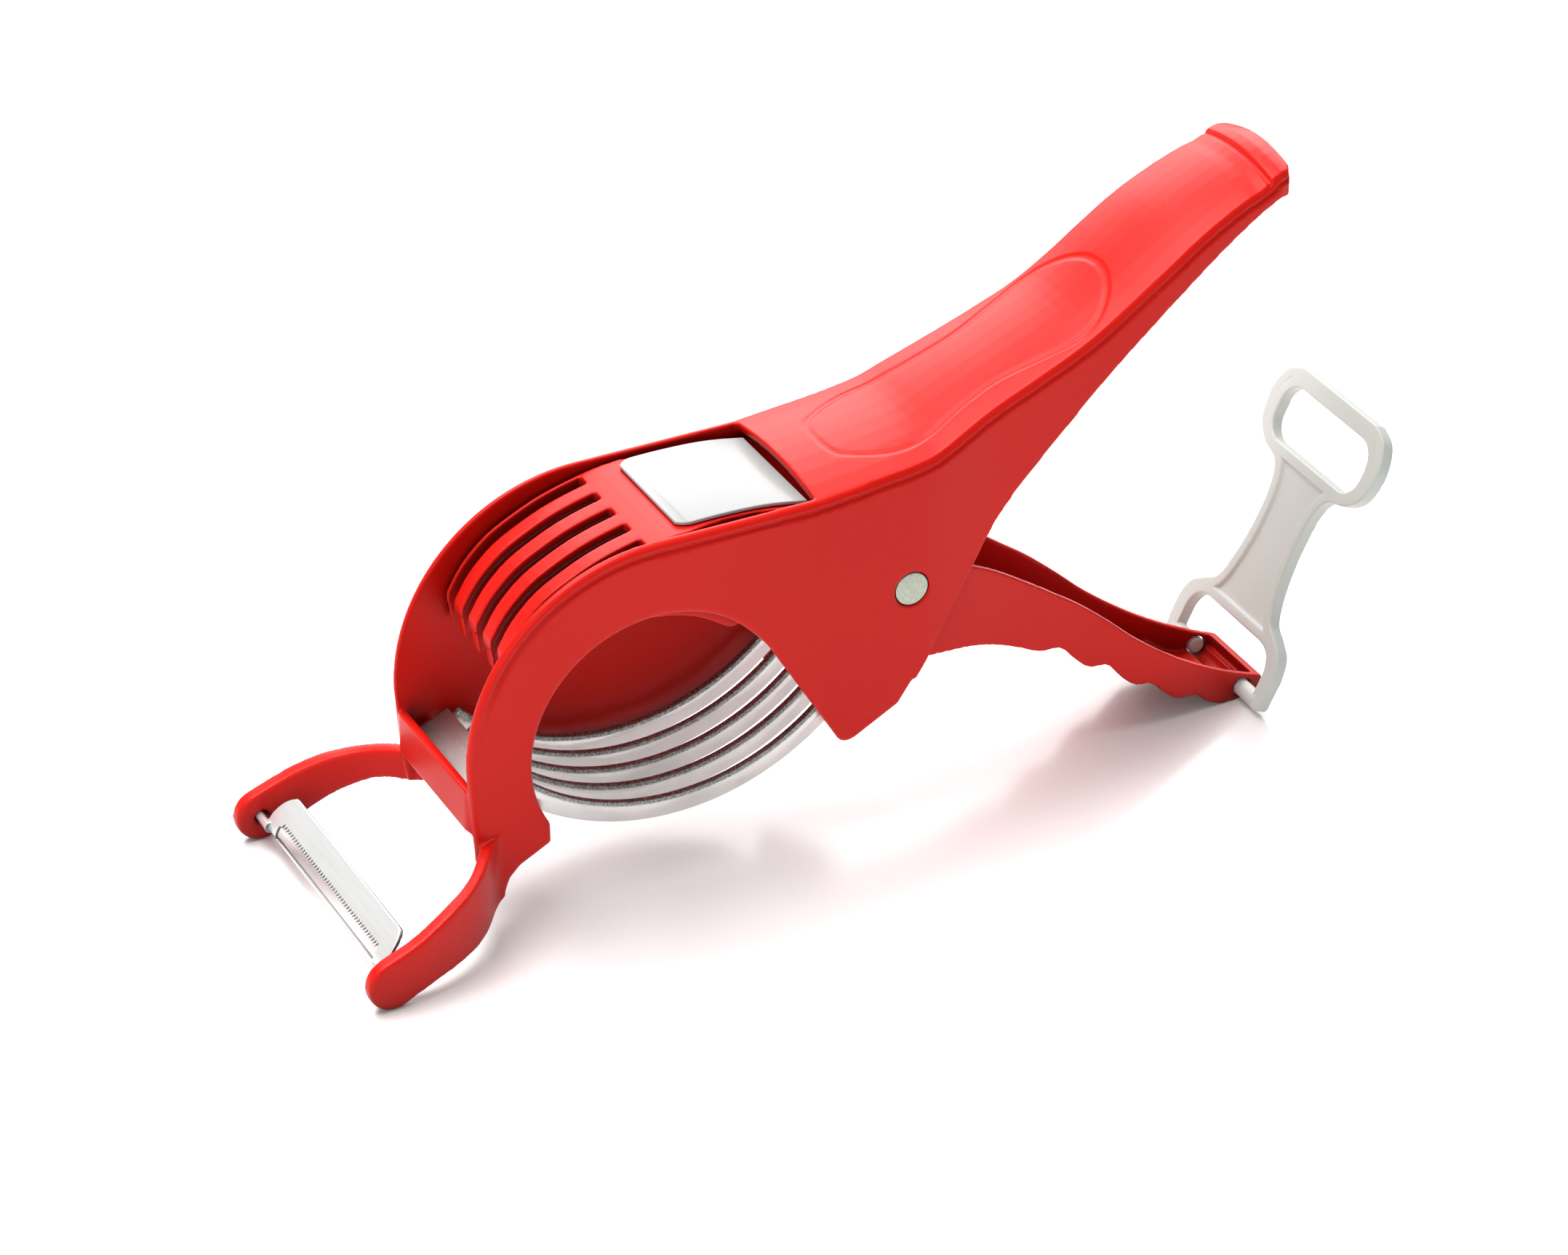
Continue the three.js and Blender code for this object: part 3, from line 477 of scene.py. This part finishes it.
def tooth_cutter():
    """A saw-edged bar that runs along the slot and notches its upper edge."""
    count = int(2 * SLOT_HALF / TOOTH_PITCH)
    last = -SLOT_HALF + count * TOOTH_PITCH
    edge = [(-SLOT_HALF, SLOT_TOP - CUTTER_LOW)]
    for i in range(count):
        start = -SLOT_HALF + i * TOOTH_PITCH
        edge += [(start, SLOT_TOP - CUTTER_SINK), (start + TOOTH_PITCH / 2, SLOT_TOP + TOOTH_DEPTH)]
    edge += [(last, SLOT_TOP - CUTTER_SINK), (last, SLOT_TOP - CUTTER_LOW)]
    work = bmesh.new()
    sides = []
    for x in (CUTTER_FROM, CUTTER_TO):
        sides.append([work.verts.new(SWIVEL + Vector((x, y, z)) * MM) for y, z in edge])
    work.faces.new(sides[1])
    work.faces.new(list(reversed(sides[0])))
    for i in range(len(edge)):
        j = (i + 1) % len(edge)
        work.faces.new((sides[0][i], sides[0][j], sides[1][j], sides[1][i]))
    bmesh.ops.recalc_face_normals(work, faces=work.faces)
    mesh = bpy.data.meshes.new("tooth_cutter")
    work.to_mesh(mesh)
    work.free()
    return link(bpy.data.objects.new("tooth_cutter", mesh))


cutter = tooth_cutter()
peeler = soften("peeler_blade", "peeler_ground", 0.15, 2, cutter=cutter)
bpy.data.objects.remove(cutter)
finish_piece(peeler, "peeler", PEELER, "blade_steel", "peeler_blade")

# ---------------------------------------------------------------- return spring between body and lever, in its CAD shape
spring = copy_of("return_spring", "spring_wound")
spring.data.materials.clear()
spring.data.materials.append(WIRE)
spring.data.shade_smooth()
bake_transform(spring)
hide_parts("return_spring")

# ---------------------------------------------------------------- hidden hardware keeps its CAD shape
kept = {"pivot_washer": PIN, "blade_rod": STRIP_RED_REFLECTION}
kept |= {f"blade_spacer_{number}": STRIP_RED_REFLECTION for number in range(1, BLADE_COUNT)}
for node_name, look in kept.items():
    data = frame["nodes"][node_name].data
    data.materials.clear()
    data.materials.append(look)

# ---------------------------------------------------------------- floor, light and camera
SIDE = 3.0  # half the floor's width, metres
floor_mesh = bpy.data.meshes.new("floor")
corners = [(-SIDE, -SIDE, 0), (SIDE, -SIDE, 0), (SIDE, SIDE, 0), (-SIDE, SIDE, 0)]
floor_mesh.from_pydata(corners, [], [(0, 1, 2, 3)])
floor = link(bpy.data.objects.new("floor", floor_mesh))
floor_look = Nodes("floor_card")
card = [(0.3, (0.93, 0.925, 0.92)), (0.7, (0.95, 0.945, 0.94))]
floor_look.set(
    Base_Color=floor_look.ramp(floor_look.noise(6, 2), card),
    Roughness=floor_look.spread(floor_look.noise(40, 3), 0.16, 0.22),
)
floor_mesh.materials.append(floor_look.material)


MIDDLE = (0, 0, 0.05)  # what the lights point at


def area_light(name, size, power, at):
    light = bpy.data.lights.new(name, "AREA")
    light.shape = "RECTANGLE"
    light.size, light.size_y = size
    light.energy = power
    lamp = link(bpy.data.objects.new(name, light))
    lamp.location = at
    lamp.rotation_euler = (Vector(MIDDLE) - Vector(at)).to_track_quat("-Z", "Y").to_euler()


area_light("top", (0.8, 0.8), 16, (-0.3, 0.2, 1.1))
area_light("back", (1.6, 0.9), 22, (0.55, 1.1, 0.8))
area_light("front", (1.2, 0.6), 3, (-0.9, -0.9, 0.5))

world = bpy.data.worlds.new("studio")
bpy.context.scene.world = world
world.use_nodes = True
background = world.node_tree.nodes["Background"].inputs
background["Color"].default_value = (1, 1, 1, 1)
background["Strength"].default_value = 0.38
bpy.context.scene.view_settings.view_transform = "Standard"

AZIMUTH = math.radians(-26.8)
ELEVATION = math.radians(31.1)
SENSOR = 36
LENS = 128.57
DISTANCE = 1140 * MM
AIM_LEFT = 0.02295  # the view axis passes this far to the left of the pin and below it, per unit of distance
AIM_BELOW = 0.00678
PIN_FACE = PIVOT + Vector((0, -19.4 * MM, 0))  # the rivet's head on the near cheek

back = Vector((
    math.sin(AZIMUTH) * math.cos(ELEVATION),
    -math.cos(AZIMUTH) * math.cos(ELEVATION),
    math.sin(ELEVATION),
))
right = Vector((math.cos(AZIMUTH), math.sin(AZIMUTH), 0))
up = back.cross(right)
camera_data = bpy.data.cameras.new("camera")
camera_data.sensor_width = SENSOR
camera_data.lens = LENS
camera_data.clip_end = 20
camera = link(bpy.data.objects.new("camera", camera_data))
camera.location = PIN_FACE - DISTANCE * (-back + AIM_LEFT * right + AIM_BELOW * up)
camera.rotation_mode = "QUATERNION"
camera.rotation_quaternion = (-back).to_track_quat("-Z", "Y")
bpy.context.scene.camera = camera
